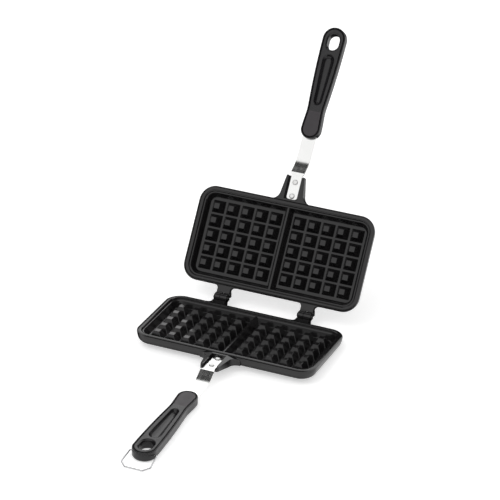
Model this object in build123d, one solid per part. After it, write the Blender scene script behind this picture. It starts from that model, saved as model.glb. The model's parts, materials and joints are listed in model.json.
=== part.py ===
from build123d import *
import math
import os

os.makedirs("parts", exist_ok=True)

# A hinged stovetop waffle iron: two cast plates, each with a strap and a handle.
# Model frame: X across the plates, Y from the handles to the hinges, +Z up. The origin is the centre
# of the lower plate's flat outside, which stands on the hob. The lid is open, leaning on its stops.
# All lengths are millimetres, all angles degrees.

# ---------------------------------------------------------------- driving dimensions
# Plates. Each casting is drawn in its own frame: the mating plane is z = 0, the hinge axis is
# y = z = 0 along X, the plate lies at -y, and its flat outside is at z = -plate_height.
plate_width = 240.0
plate_depth = 124.0
plate_height = 15.0
plate_corner = 21.0
rim_gap = 0.3              # between the two rims when the iron is shut
rim_band = 4.0             # height of the upright edge under the rim
rim_round = 0.8
skirt_draft = 15.0         # slope of the side wall below the upright edge
skirt_round = 7.0          # where the side wall meets the flat outside
rim_land = 6.3             # flat outer land of the rim
ledge_drop = 2.5           # step down from the land to the ledge
ledge_width = 3.0
cavity_depth = 12.0        # mating plane to the cavity's floor
cavity_draft = 18.0
cavity_round = 1.5
divider_top = 3.2          # crest of the wall between the two cavities

# Pegs that press the pockets into the waffle.
peg_count = 5              # pegs each way in one cavity
peg_pitch_x = 19.8
peg_pitch_y = 18.5
peg_group_gap = 12.5       # extra space between the two groups, over the pitch
peg_base_x = 16.0
peg_base_y = 15.0
peg_top = 7.2
peg_drop = 2.4             # peg top below the mating plane
peg_base_round = 1.2
peg_top_round = 0.8

# Hinges.
hinge_reach = 15.0         # hinge axis behind the plate's back edge
hinge_spacing = 114.8      # between the middles of the two hinges
hinge_offset = -1.0        # both hinges sit a little to low x
hinge_width = 17.5
ear_width = 7.6            # the lid's ear, at the low-x side of each hinge
hinge_side_gap = 0.3       # between ear and knuckle
knuckle_radius = 5.5
knuckle_relief = 0.8       # around ear and knuckle, to the arm that passes them
boss_top = 1.0             # the hinge webs stay this far from the mating plane
boss_floor = 9.5           # underside of the lower web
boss_flare = 4.5           # corner between web and back wall
arm_outer = 7.0            # outer face of the lid's arm
arm_heel = 2.0             # where the arm's outer face ends, in front of the axis
root_depth = 5.0           # how far webs and brackets reach into the rim wall
pin_radius = 2.0
pin_running = 0.05         # radial clearance of the pin in the lid's ear
pin_head_radius = 3.2
pin_head_height = 1.3
pin_head_round = 0.9
pin_end_play = 0.15

# Lid stop.
lid_open = 122.0           # opening angle at the stop
stop_gap = 0.1
stop_back = 12.6           # back of the stop horn, behind the axis
stop_height = 3.8          # top of the horn over the mating plane
stop_foot = 3.2            # lower end of its slanting face, below the mating plane
stop_root = 5.0            # underside where the horn leaves the knuckle

# Brackets at the front, cast with the plates: two cheeks and a floor that carry the strap.
bracket_reach = 33.0       # in front of the plate's front edge
cheek_thickness = 4.4      # at the nose
cheek_taper = 4.9          # outer face, from the nose out to the front wall
cheek_top = 1.2            # below the mating plane
cheek_flare = 9.0          # corner between cheek and front wall
cheek_nose = 1.8
bracket_bottom = 12.0

# Straps of bright sheet steel.
strap_thickness = 2.0
strap_narrow = 14.3        # between the cheeks
strap_wide = 18.3          # from the joggle to the handle
strap_side_gap = 0.6       # between strap and cheek
strap_face = 5.5           # strap's inner face below the mating plane, in the bracket
strap_start = 3.0          # strap end in front of the plate's front edge
joggle_start = 38.0        # in front of the plate's front edge
joggle_run = 13.0
joggle_drop = 9.7          # step away from the mating plane
strap_bend = 5.0           # at the bracket, on the strap's middle line
strap_sweep = 25.0         # easy bend towards the handle, on the middle line
strap_corner = 3.0         # rounded corners of the end in the bracket
handle_slope = 3.2         # strap and handle lean away from the mating plane

# Strap rivets.
rivet_first = 7.0          # in front of the plate's front edge
rivet_spacing = 18.0
rivet_radius = 2.0
rivet_head_radius = 3.5
rivet_head_height = 1.7
rivet_head_round = 1.3

# Handles, measured along the strap from the joggle's end.
handle_start = 33.5
handle_length = 149.0
handle_thickness = 13.5
handle_mouth = 12.2        # half width at the strap end
handle_waist = 10.6        # half width where the thumb closes round
handle_waist_at = 41.0     # from the strap end
handle_tip = 15.2          # half width and end radius at the free end
handle_inner_round = 2.4
handle_outer_round = 4.2
tang_length = 62.0         # strap inside the handle
tang_width = 13.5
tang_shoulder = 3.0        # wide strap that enters the handle
tang_clearance = 0.1
hang_hole_width = 16.0
hang_hole_length = 21.0
hang_hole_wall = 9.2       # from the hole to the tip
hang_hole_round = 1.7
groove_start = 45.5        # thumb groove, from the strap end
groove_length = 64.0
groove_narrow = 11.0
groove_wide = 15.5
groove_depth = 3.6
groove_narrow_round = 3.0
groove_wide_round = 5.0
groove_draft = 25.0

# Handle screws, from the outer face through the tang.
screw_at = 22.0            # from the strap end
screw_radius = 2.0
screw_head_radius = 3.7
screw_head_height = 2.2
screw_length = 10.0
screw_tang_gap = 0.25

# Wire bail on the lower handle's tip.
bail_wire = 0.9            # wire radius
bail_pivot_from_tip = 11.5
bail_reach = 28.5          # pivot axis to the middle of the cross bar
bail_half_width = 17.2     # leg's middle line at the pivot
bail_flare = 1.4           # legs spread by this towards the bar
bail_corner_in = 7.4       # slanting corner, across
bail_corner_back = 7.2     # slanting corner, along
bail_bend = 2.5
bail_pin_start = 10.9      # inner end of the wire's pivot ends
bail_running = 0.05
bail_end_play = 0.2
bail_droop = 11.3          # below the handle's own line: the bar lies on the table

# ---------------------------------------------------------------- derived places
rim_level = -rim_gap / 2
back_edge = -hinge_reach
front_edge = -(hinge_reach + plate_depth)
plate_middle = (back_edge + front_edge) / 2
skirt_height = plate_height - rim_gap / 2 - rim_band
cavity_inset = rim_land + ledge_width
peg_height = cavity_depth - peg_drop
peg_group_x = ((peg_count - 1) * peg_pitch_x + peg_pitch_x + peg_group_gap) / 2
hinge_stations = (hinge_offset - hinge_spacing / 2, hinge_offset + hinge_spacing / 2)
relief_radius = knuckle_radius + knuckle_relief
lid_lean = 180.0 - lid_open
strap_middle = -(strap_face + strap_thickness / 2)
channel_floor = -(strap_face + strap_thickness)
channel_half = strap_narrow / 2 + strap_side_gap
strap_top_y = front_edge - joggle_start - joggle_run
strap_top_z = strap_middle - joggle_drop
handle_end = handle_start + handle_length
hang_hole_at = handle_end - hang_hole_wall - hang_hole_length / 2
bail_pivot_at = handle_end - bail_pivot_from_tip
margin = 1.0               # cutting tools pass their faces by this

# Handle frame: origin at the joggle's end on the strap's middle surface, local -y runs out along
# the handle, and local z points to the mating plane.
slope_sin = math.sin(math.radians(handle_slope))
slope_cos = math.cos(math.radians(handle_slope))
handle_plane = Plane(origin=(0, strap_top_y, strap_top_z), x_dir=(1, 0, 0), z_dir=(0, -slope_sin, slope_cos))

# Casting frame to model frame, for the lower parts and for the open lid.
lower_place = Location((0, -plate_middle, plate_height))
lid_place = lower_place * Rotation(-lid_open, 0, 0)


def x_block(x_from, x_to, y_from, y_to, z_from, z_to):
    """Box between two corners."""
    size = (x_to - x_from, y_to - y_from, z_to - z_from)
    middle = ((x_from + x_to) / 2, (y_from + y_to) / 2, (z_from + z_to) / 2)
    return Location(middle) * Box(*size)


def x_rod(radius, x_from, x_to):
    """Cylinder along the hinge axis."""
    place = Location(((x_from + x_to) / 2, 0, 0)) * Rotation(0, 90, 0)
    return place * Cylinder(radius, x_to - x_from)


def x_prism(points, x_from, x_to):
    """Prism along X over an outline of (y, z) points."""
    outline = Plane.YZ.offset(x_from) * make_face(Polyline(*points, close=True))
    return extrude(outline, x_to - x_from, dir=(1, 0, 0))


def downward(z):
    """Plane at height z over the plate's middle that faces down."""
    return Plane(origin=(0, plate_middle, z), x_dir=(1, 0, 0), z_dir=(0, 0, -1))


def rounded_outline(inset):
    """Plate outline, taken in evenly by inset."""
    width = plate_width - 2 * inset
    depth = plate_depth - 2 * inset
    return RectangleRounded(width, depth, plate_corner - inset)


# ---------------------------------------------------------------- plates
def plate_shell():
    """Tray with upright rim, drafted skirt and rounded foot."""
    band = extrude(downward(rim_level) * rounded_outline(0), rim_band)
    skirt = extrude(downward(rim_level - rim_band) * rounded_outline(0), skirt_height, taper=skirt_draft)
    shell = band + skirt
    foot = shell.faces().sort_by(Axis.Z)[0]
    shell = fillet(foot.edges(), skirt_round)
    rim = shell.faces().sort_by(Axis.Z)[-1]
    return fillet(rim.edges(), rim_round)


def cavity_pocket():
    """Drafted hollow of the cavity, before the divider and the pegs are put back."""
    height = cavity_depth - ledge_drop
    pocket = extrude(downward(-ledge_drop) * rounded_outline(cavity_inset), height, taper=cavity_draft)
    return fillet(pocket.faces().sort_by(Axis.Z)[0].edges(), cavity_round)


def divider():
    """Wall of wedge section between the two cavities."""
    height = cavity_depth - ledge_drop
    top = divider_top / 2
    foot = top + height * math.tan(math.radians(cavity_draft))
    section = make_face(Polyline((-top, -ledge_drop), (top, -ledge_drop),
                                 (foot, -cavity_depth), (-foot, -cavity_depth), close=True))
    wall = extrude(Plane.XZ.offset(-back_edge) * section, plate_depth, dir=(0, -1, 0))
    return wall & cavity_pocket()


def peg():
    """One four-sided peg on the cavity's floor."""
    base = RectangleRounded(peg_base_x, peg_base_y, peg_base_round)
    top = Plane.XY.offset(peg_height) * RectangleRounded(peg_top, peg_top, peg_top_round)
    return loft([base.face(), top.face()], ruled=True)


def pegs():
    """Both groups of pegs."""
    one = peg()
    found = []
    for side in (-1, 1):
        group = Location((side * peg_group_x, plate_middle, -cavity_depth))
        for place in GridLocations(peg_pitch_x, peg_pitch_y, peg_count, peg_count):
            found.append(group * place * one)
    return found


def bracket():
    """Two cheeks that flare out of the front wall, with the floor that carries the strap."""
    nose_half = channel_half + cheek_thickness
    wall_half = nose_half + cheek_taper
    root_half = wall_half + cheek_flare
    root = front_edge + root_depth
    nose = front_edge - bracket_reach
    right = [(root_half, root), (root_half, front_edge), (wall_half, front_edge), (nose_half, nose)]
    left = [(-x, y) for x, y in reversed(right)]
    plan = make_face(Polyline(*right, *left, close=True))
    corners = plan.vertices().filter_by(lambda corner: abs(corner.Y - front_edge) < margin)
    plan = fillet(corners.filter_by(lambda corner: abs(corner.X) < root_half - margin), cheek_flare)
    plan = fillet(plan.vertices().group_by(Axis.Y)[0], cheek_nose)
    block = extrude(Plane.XY.offset(-bracket_bottom) * plan, bracket_bottom - cheek_top)
    channel = x_block(-channel_half, channel_half, nose - margin, front_edge - strap_start + strap_side_gap,
                      channel_floor, margin)
    holes = [rivet_bore(place) for place in rivet_places()]
    return block - channel - holes


def web_corners(x_from, x_to, low, high):
    """Flared corners between a hinge web and the plate's back wall."""
    found = []
    for x, side in ((x_from, -1), (x_to, 1)):
        corner = x_block(min(x, x + side * boss_flare), max(x, x + side * boss_flare),
                         back_edge - root_depth, back_edge + boss_flare, low, high)
        hollow = Location((x + side * boss_flare, back_edge + boss_flare, (low + high) / 2))
        found.append(corner - hollow * Cylinder(boss_flare, high - low + margin))
    return found


def hinge_limits(station):
    """Low and high x of a whole hinge."""
    return station - hinge_width / 2, station + hinge_width / 2


def stop_horn():
    """Outline of the horn whose slanting face stops the lid's arm."""
    lean_sin = math.sin(math.radians(lid_lean))
    lean_cos = math.cos(math.radians(lid_lean))
    reach = arm_outer + stop_gap
    face_top = (reach + stop_height * lean_cos) / lean_sin
    face_foot = (reach - stop_foot * lean_cos) / lean_sin
    return [(0, -stop_foot), (face_foot, -stop_foot), (face_top, stop_height), (stop_back, stop_height),
            (stop_back, -stop_foot), (0, -stop_root)]


def lower_hinge(station):
    """Web, knuckle and stop horn on the lower plate."""
    low, high = hinge_limits(station)
    knuckle_start = low + ear_width + hinge_side_gap
    web = x_block(low, high, back_edge - root_depth, 0, -boss_floor, -boss_top)
    knuckle = x_rod(knuckle_radius, knuckle_start, high)
    horn = x_prism(stop_horn(), knuckle_start, high)
    solid = web + knuckle + horn + web_corners(low, high, -boss_floor, -boss_top)
    ear_room = x_rod(relief_radius, low - margin, knuckle_start)
    bore = x_rod(pin_radius, knuckle_start - margin, high + margin)
    return solid - ear_room - bore


def lid_hinge(station):
    """Arm and ear on the lid, drawn in the casting frame with the outside at -z."""
    low, high = hinge_limits(station)
    ear_end = low + ear_width
    arm = x_block(low, high, back_edge - root_depth, -arm_heel, -arm_outer, -boss_top)
    ear = x_rod(knuckle_radius, low, ear_end)
    solid = arm + web_corners(low, high, -arm_outer, -boss_top)
    solid -= x_rod(relief_radius, ear_end, high + margin)
    bore = x_rod(pin_radius + pin_running, low - margin, ear_end + margin)
    return solid + ear - bore


def plate(hinge):
    """One casting: tray, divider, pegs, bracket and two hinge halves."""
    height = margin - rim_level + ledge_drop
    ledge = extrude(downward(margin) * rounded_outline(rim_land), height)
    ledge = ledge & x_block(-plate_width, plate_width, front_edge, back_edge, -ledge_drop, margin)
    tray = plate_shell() + bracket()
    for station in hinge_stations:
        tray += hinge(station)
    tray = tray - ledge - cavity_pocket() + divider()
    return tray + pegs()


# ---------------------------------------------------------------- hinge pins
def hinge_pin(station):
    """Headed pin, tight in the knuckle and free in the ear."""
    low, high = hinge_limits(station)
    head_low = low - pin_end_play
    shank = x_rod(pin_radius, head_low, high)
    solid = shank
    for start, end in ((head_low - pin_head_height, head_low), (high, high + pin_head_height)):
        head = x_rod(pin_head_radius, start, end)
        outer = head.faces().sort_by(Axis.X)[0 if start < station else -1]
        solid += fillet(outer.edges(), pin_head_round)
    return solid


# ---------------------------------------------------------------- straps and rivets
def rivet_places():
    """Rivet positions along Y."""
    first = front_edge - rivet_first
    return (first, first - rivet_spacing)


def rivet_bore(y):
    """Hole for a strap rivet."""
    return Location((0, y, channel_floor)) * Cylinder(rivet_radius, 2 * bracket_bottom)


def strap_path():
    """Middle line of the strap, from the bracket to the tang's end inside the handle."""
    tang_end = handle_plane.from_local_coords((0, -(handle_start + tang_length), 0))
    path = Polyline((0, front_edge - strap_start, strap_middle), (0, front_edge - joggle_start, strap_middle),
                    (0, strap_top_y, strap_top_z), (0, tang_end.Y, tang_end.Z))
    path = fillet(path.vertices().sort_by(Axis.Y)[1], strap_sweep)
    return fillet(path.vertices().sort_by(Axis.Y)[-2], strap_bend)


def strap_plan():
    """Outline of the strap seen square to the plate."""
    start = front_edge - strap_start
    nose = front_edge - bracket_reach
    widened = front_edge - joggle_start
    shoulder = strap_top_y - handle_start - tang_shoulder
    end = strap_top_y - handle_start - tang_length
    right = [(strap_narrow / 2, start), (strap_narrow / 2, nose), (strap_wide / 2, widened),
             (strap_wide / 2, shoulder), (tang_width / 2, shoulder), (tang_width / 2, end - margin)]
    left = [(-x, y) for x, y in reversed(right)]
    plan = make_face(Polyline(*right, *left, close=True))
    return fillet(plan.vertices().group_by(Axis.Y)[-1], strap_corner)


def strap():
    """Joggled strap with rivet holes and the handle screw's hole."""
    path = strap_path()
    section = Plane(origin=path @ 0, x_dir=(1, 0, 0), z_dir=path % 0) * Rectangle(strap_wide, strap_thickness)
    strip = sweep(section, path)
    column = extrude(Plane.XY.offset(-plate_width) * strap_plan(), 2 * plate_width)
    holes = [rivet_bore(y) for y in rivet_places()]
    screw_hole = handle_plane * Location((0, -(handle_start + screw_at), 0)) * Cylinder(
        screw_radius + screw_tang_gap, handle_thickness)
    return (strip & column) - holes - screw_hole


def rivet_head(height, radius, rounding, up):
    """Low domed head standing on its base plane."""
    head = Cylinder(radius, height, align=(Align.CENTER, Align.CENTER, Align.MIN))
    head = fillet(head.faces().sort_by(Axis.Z)[-1].edges(), rounding)
    return head if up else Rotation(180, 0, 0) * head


def rivet(y):
    """Rivet through strap and bracket floor, with a head on each side."""
    grip = bracket_bottom - strap_face
    shank = Location((0, y, -(bracket_bottom + strap_face) / 2)) * Cylinder(rivet_radius, grip)
    upper = Location((0, y, -strap_face)) * rivet_head(rivet_head_height, rivet_head_radius, rivet_head_round, True)
    lower = Location((0, y, -bracket_bottom)) * rivet_head(rivet_head_height, rivet_head_radius, rivet_head_round, False)
    return shank + upper + lower


# ---------------------------------------------------------------- handles
def handle_outline():
    """Plan of the handle: round mouth, waist, and a wider round tip."""
    mouth = handle_start + handle_mouth
    tip = handle_end - handle_tip
    waist = handle_start + handle_waist_at
    right = Spline((handle_mouth, -mouth), (handle_waist, -waist), (handle_tip, -tip),
                   tangents=((0, -1), (0, -1)))
    left = Spline((-handle_tip, -tip), (-handle_waist, -waist), (-handle_mouth, -mouth),
                  tangents=((0, 1), (0, 1)))
    mouth_end = ThreePointArc((-handle_mouth, -mouth), (0, -handle_start), (handle_mouth, -mouth))
    tip_end = ThreePointArc((handle_tip, -tip), (0, -handle_end), (-handle_tip, -tip))
    return make_face([mouth_end, right, tip_end, left])


def thumb_groove():
    """Tapering hollow in the inner face, narrow towards the strap."""
    start = handle_start + groove_start
    end = start + groove_length
    plan = make_face(Polyline((-groove_narrow / 2, -start), (groove_narrow / 2, -start),
                              (groove_wide / 2, -end), (-groove_wide / 2, -end), close=True))
    plan = fillet(plan.vertices().group_by(Axis.Y)[-1], groove_narrow_round)
    plan = fillet(plan.vertices().group_by(Axis.Y)[0], groove_wide_round)
    mouth = Plane(origin=(0, 0, handle_thickness / 2), x_dir=(1, 0, 0), z_dir=(0, 0, -1))
    flipped = mirror(plan, about=Plane.XZ)
    return extrude(mouth * flipped, groove_depth, taper=groove_draft)


def handle_blank():
    """Handle body in the handle frame, with its hang hole and thumb groove."""
    half = handle_thickness / 2
    body = extrude(Plane.XY.offset(-half) * handle_outline(), handle_thickness)
    body = fillet(body.faces().sort_by(Axis.Z)[0].edges(), handle_outer_round)
    body = fillet(body.faces().sort_by(Axis.Z)[-1].edges(), handle_inner_round)
    slot = Rotation(0, 0, 90) * SlotOverall(hang_hole_length, hang_hole_width)
    hole = Location((0, -hang_hole_at, -half - margin)) * extrude(slot, handle_thickness + 2 * margin)
    body -= hole
    hole_edges = body.edges().filter_by(lambda edge: abs(abs(edge.center().Z) - half) < margin / 2)
    hole_edges = hole_edges.filter_by(lambda edge: abs(edge.center().Y + hang_hole_at) < hang_hole_length / 2)
    hole_edges = hole_edges.filter_by(lambda edge: abs(edge.center().X) < hang_hole_width / 2 + margin / 2)
    body = fillet(hole_edges, hang_hole_round)
    return body - thumb_groove()


def tang_pocket():
    """Room for the strap's tang."""
    room = strap_thickness / 2
    wide = strap_wide / 2 + tang_clearance
    narrow = tang_width / 2 + tang_clearance
    shoulder = handle_start + tang_shoulder + tang_clearance
    end = handle_start + tang_length + tang_clearance
    mouth = x_block(-wide, wide, -shoulder, -handle_start + margin, -room, room)
    tang = x_block(-narrow, narrow, -end, -handle_start, -room, room)
    return mouth + tang


def handle_screw():
    """Countersunk screw from the outer face, in the handle frame."""
    y = -(handle_start + screw_at)
    half = handle_thickness / 2
    head = Location((0, y, -half + screw_head_height / 2)) * Cone(screw_head_radius, screw_radius, screw_head_height)
    shank = Location((0, y, -half + screw_length / 2)) * Cylinder(screw_radius, screw_length)
    return head + shank


def bail_bores():
    """Two short pivot holes in the sides of the lower handle's tip."""
    start = bail_pin_start - bail_end_play
    found = []
    for side in (-1, 1):
        place = Location((side * (start + handle_tip) / 2, -bail_pivot_at, 0)) * Rotation(0, 90, 0)
        found.append(place * Cylinder(bail_wire + bail_running, handle_tip - start + margin))
    return found


def bail_wireform():
    """Wire bail, in the handle frame, drooping from its pivots."""
    half = bail_half_width
    spread = half + bail_flare
    bend = bail_reach - bail_corner_back
    bar = spread - bail_corner_in
    path = FilletPolyline((-bail_pin_start, 0), (-half, 0), (-spread, -bend), (-bar, -bail_reach),
                          (bar, -bail_reach), (spread, -bend), (half, 0), (bail_pin_start, 0), radius=bail_bend)
    section = Plane(origin=path @ 0, z_dir=path % 0) * Circle(bail_wire)
    wire = sweep(section, path)
    return Location((0, -bail_pivot_at, 0)) * Rotation(bail_droop, 0, 0) * wire


# ---------------------------------------------------------------- assembly and export
def lid(shape):
    """Casting-frame shape turned over to the lid's side, at the lid's open place."""
    return lid_place * mirror(shape, about=Plane.XY)


def write(name, shape):
    """Write one sub-part and print its size."""
    export_step(shape, f"parts/{name}.step")
    box = shape.bounding_box().size
    print(f"{name}: {shape.volume:.0f} mm3, {box.X:.1f} x {box.Y:.1f} x {box.Z:.1f} mm")


write("lower_plate", lower_place * plate(lower_hinge))
write("upper_plate", lid(plate(lid_hinge)))
for side_name, hinge_x in zip(("left", "right"), hinge_stations):
    write(f"hinge_pin_{side_name}", lower_place * hinge_pin(hinge_x))

handle_body = handle_blank() - tang_pocket() - handle_screw()
handle_upper = handle_plane * handle_body
handle_lower = handle_plane * (handle_body - bail_bores())
screw = handle_plane * handle_screw()
for half_name, put in (("lower", lambda shape: lower_place * shape), ("upper", lid)):
    write(f"{half_name}_strap", put(strap()))
    for rivet_name, rivet_y in zip(("rear", "front"), rivet_places()):
        write(f"{half_name}_rivet_{rivet_name}", put(rivet(rivet_y)))
    write(f"{half_name}_handle", put(handle_lower if half_name == "lower" else handle_upper))
    write(f"{half_name}_handle_screw", put(screw))
write("wire_bail", lower_place * (handle_plane * bail_wireform()))
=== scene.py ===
import json
import math

import bmesh
import bpy
from bpy.props import FloatProperty, FloatVectorProperty, IntProperty, PointerProperty
from mathutils import Matrix, Vector


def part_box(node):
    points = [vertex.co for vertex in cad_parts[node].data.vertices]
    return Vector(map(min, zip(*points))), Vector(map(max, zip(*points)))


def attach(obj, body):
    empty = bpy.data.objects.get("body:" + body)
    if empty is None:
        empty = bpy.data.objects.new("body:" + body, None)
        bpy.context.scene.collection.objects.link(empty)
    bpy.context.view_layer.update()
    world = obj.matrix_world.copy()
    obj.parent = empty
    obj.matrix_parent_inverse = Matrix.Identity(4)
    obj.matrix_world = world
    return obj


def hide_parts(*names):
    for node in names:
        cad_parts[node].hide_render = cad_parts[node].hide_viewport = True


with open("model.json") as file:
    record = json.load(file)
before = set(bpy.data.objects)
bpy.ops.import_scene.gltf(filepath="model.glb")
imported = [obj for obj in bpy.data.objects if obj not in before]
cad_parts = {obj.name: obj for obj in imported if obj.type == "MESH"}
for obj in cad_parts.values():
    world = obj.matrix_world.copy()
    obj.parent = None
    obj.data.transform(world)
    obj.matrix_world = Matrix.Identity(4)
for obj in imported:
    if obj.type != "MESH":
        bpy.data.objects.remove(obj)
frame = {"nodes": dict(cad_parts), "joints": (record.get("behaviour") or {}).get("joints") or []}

bl_info = {
    "name": "Stovetop waffle iron",
    "version": (1, 0, 0),
    "blender": (4, 5, 0),
    "location": "View3D > Sidebar > Waffle iron",
    "description": "Builds the plates, straps, handles and small parts of a hinged stovetop waffle iron",
    "category": "Add Mesh",
}

# The castings are modelled in their own frame: the rims meet at z = 0, the hinge axis is y = z = 0
# along X, the plate lies at -y and its flat outside is below. HALVES puts a finished shape on its own
# half of the iron; on the lid it is turned over.
LOWER, LID = "lower_half", "lid"
HINGE = next(joint for joint in frame["joints"] if joint["child"] == LID)
HINGE_PLACE = Vector(HINGE["pos_m"])
LID_OPEN = math.radians(max(HINGE["range_deg"]))
HALVES = (  # word in the pieces' names, body, and the casting frame's place
    ("lower", LOWER, Matrix.Translation(HINGE_PLACE)),
    ("upper", LID,
     Matrix.Translation(HINGE_PLACE) @ Matrix.Rotation(-LID_OPEN, 4, "X") @ Matrix.Scale(-1, 4, (0, 0, 1))),
)
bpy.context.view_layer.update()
PLATE_LOW, PLATE_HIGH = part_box("lower_plate")
HANDLE_LOW, HANDLE_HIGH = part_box("lower_handle")
MM = 0.001
SMALL_ROUND = 0.6 * MM  # rounding of a casting's small edges
SINK = 1 * MM  # how far a block of a casting, or a cutting tool, runs past a face that it meets
SHY = 0.1 * MM  # how far a block's face stays behind its neighbour's
FOOT_SINK = 0.2 * MM  # how far the foot of a peg or of the divider goes under the cavity's floor
SEAM_SIDE = 0.15 * MM  # slope of the sides of the channel around a handle's inner face
STAND_BACK = 35 * MM  # the plate stands on a line this far in from its back end
STAND_TIP = 4.8 * MM  # the lower handle stands on a point this far in from its tip
LAMPS = (("key", (-0.9, -1.4, 2.4), 1.4, 14), ("fill", (1.2, -2.2, 1.2), 1.8, 6))  # name, place, side, power

# The studio as gloss sees it: edges along one axis of the direction looked in, each as that axis, where
# the edge starts and ends, and the strength before and after it.
STUDIO_EDGES = {
    "overhead": ("Z", 0.80, 0.87, 0, 1), "overhead_near": ("Y", -0.30, -0.20, 0, 1),
    "overhead_far": ("Y", 0.30, 0.38, 1, 0), "low": ("Z", 0.18, 0.32, 0.04, 1),
    "strip": ("Z", 0.34, 0.43, 0.05, 1), "strip_end": ("Y", 0.45, 0.60, 1, 0),
    "backlight": ("Y", 0.3, 0.8, 1, 1.8),
}
SIDE_FLAGS = (0.62, 0.76, 1, 0.08)  # the same for the dark flags at both sides, along x either way
OVERHEAD_STRENGTH = 0.04
ROOM_STRENGTH = 0.75  # what lights the matt surfaces
DARK_FLOOR_Y, DARK_FLOOR_X = (-0.07, -0.05, 0, 1), (0.10, 0.12, 1, 0)  # where gloss sees the floor dark


def length(name, description, value):
    """A length property, with its default in millimetres."""
    return FloatProperty(name=name, description=description, default=value * MM, unit="LENGTH", precision=5)


def angle(name, description, value):
    """An angle property, with its default in degrees."""
    return FloatProperty(name=name, description=description, default=math.radians(value), unit="ROTATION")


def colour(name, description, value):
    """A colour property."""
    return FloatVectorProperty(
        name=name, description=description, default=value, size=3, min=0, max=1, subtype="COLOR")


# ---- sizes and colours
class WAFFLE_PG_plate(bpy.types.PropertyGroup):
    width: FloatProperty(
        name="Width", description="Across the plate", default=PLATE_HIGH.x - PLATE_LOW.x, unit="LENGTH")
    depth: length("Depth", "From the hinge side to the handle side", 124)
    height: FloatProperty(
        name="Height", description="Mating plane to the flat outside", default=HINGE_PLACE.z, unit="LENGTH")
    corner: length("Corner", "Radius of the plate's corners", 21)
    hinge_reach: length("Hinge reach", "Hinge axis behind the plate's back edge", 15)
    rim_gap: length("Rim gap", "Rim below the mating plane", 0.15)
    rim_band: length("Rim band", "Upright edge under the rim", 4)
    skirt_inset: length("Skirt inset", "How far the drafted skirt runs in", 2.9)
    foot_round: length("Foot round", "Rounding between skirt and outside", 6.4)
    rim_fall: length("Rim fall", "Fall of the crowned rim at its outer edge", 1.15)
    rim_peak: length("Rim peak", "Crest of the rim from its outer edge", 4.3)
    rim_inner_fall: length("Inner fall", "Fall of the rim at the ledge", 0.75)
    rim_land: length("Rim land", "Width of the crowned rim", 6.3)
    ledge_drop: length("Ledge drop", "Step from the rim to the ledge", 2.5)
    ledge_width: length("Ledge width", "Width of the ledge", 3)
    cavity_depth: length("Cavity depth", "Mating plane to the cavity's floor", 12)
    wall_run: length("Wall run", "How far the cavity's wall leans in", 3.1)
    divider_top: length("Divider top", "Crest of the dividing wall", 3.2)
    divider_foot: length("Divider foot", "Foot of the dividing wall", 9.4)


class WAFFLE_PG_pegs(bpy.types.PropertyGroup):
    count: IntProperty(name="Pegs each way", description="Pegs each way in one cavity", default=5, min=1)
    pitch_x: length("Pitch across", "Peg to peg across the plate", 19.8)
    pitch_y: length("Pitch along", "Peg to peg along the plate", 18.5)
    group_gap: length("Group gap", "Extra space between the two groups", 12.5)
    base_x: length("Base across", "Peg's foot across the plate", 16)
    base_y: length("Base along", "Peg's foot along the plate", 15)
    top: length("Top", "Peg's flat top", 7.2)
    drop: length("Drop", "Peg's top below the mating plane", 2.4)
    flare: length("Flare", "Small fillet at the foot", 0.7)


class WAFFLE_PG_hinge(bpy.types.PropertyGroup):
    spacing: length("Spacing", "Between the two hinges", 114.8)
    offset: length("Offset", "Both hinges sit to low x by this", -1)
    width: length("Width", "Whole hinge", 17.5)
    ear: length("Ear", "Width of the lid's ear", 7.6)
    side_gap: length("Side gap", "Between ear and knuckle", 0.3)
    radius: length("Radius", "Ear and knuckle", 5.5)
    relief: length("Relief", "Where the arms end round the axis", 6.4)
    web_top: length("Web top", "Webs stay this far from the mating plane", 1)
    web_floor: length("Web floor", "Underside of the lower web", 9.5)
    arm_outer: length("Arm", "Outer face of the lid's arm", 7)
    arm_heel: length("Heel", "End of the ear's arm before the axis", 2)
    flare: length("Flare", "Corner to the back wall", 4.5)
    horn_back: length("Horn back", "Back of the stop horn", 12.6)
    horn_top: length("Horn top", "Top of the stop horn", 3.8)
    horn_foot: length("Horn foot", "Underside of the stop horn", 3.2)


class WAFFLE_PG_strap(bpy.types.PropertyGroup):
    reach: length("Bracket reach", "Cheeks in front of the plate", 33)
    side_gap: length("Side gap", "Between strap and cheek", 2.1)
    cheek: length("Cheek", "Thickness of a cheek at the nose", 2.9)
    cheek_taper: length("Cheek taper", "Outer face, from the nose out to the wall", 4.9)
    cheek_top: length("Cheek top", "Below the mating plane", 1.2)
    cheek_flare: length("Cheek flare", "Corner to the front wall", 9)
    cheek_lean: angle("Cheek lean", "Outward fall of a cheek's top", 9)
    nose_rise: length("Nose rise", "Underside of the bracket's nose above its root", 4.2)
    bracket_floor: length("Bracket floor", "Underside of the bracket", 12)
    thickness: length("Thickness", "Sheet", 2)
    narrow: length("Narrow", "Width between the cheeks", 14.3)
    wide: length("Wide", "Width at the handle", 18.3)
    face: length("Face", "Inner face below the mating plane", 5.5)
    start: length("Start", "End of the strap before the plate", 3)
    joggle_at: length("Joggle", "Start of the joggle before the plate", 38)
    joggle_run: length("Joggle run", "Along the strap", 13)
    joggle_drop: length("Joggle drop", "Away from the mating plane", 9.7)
    bend: length("Bend", "Radius at the bracket, on the middle line", 5)
    sweep: length("Sweep", "Radius towards the handle, on the middle line", 36)
    lean: angle("Lean", "Tilt of the sheet on the bracket's floor", 1.0)
    slope: angle("Slope", "Lean of strap and handle", 3.2)


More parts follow.
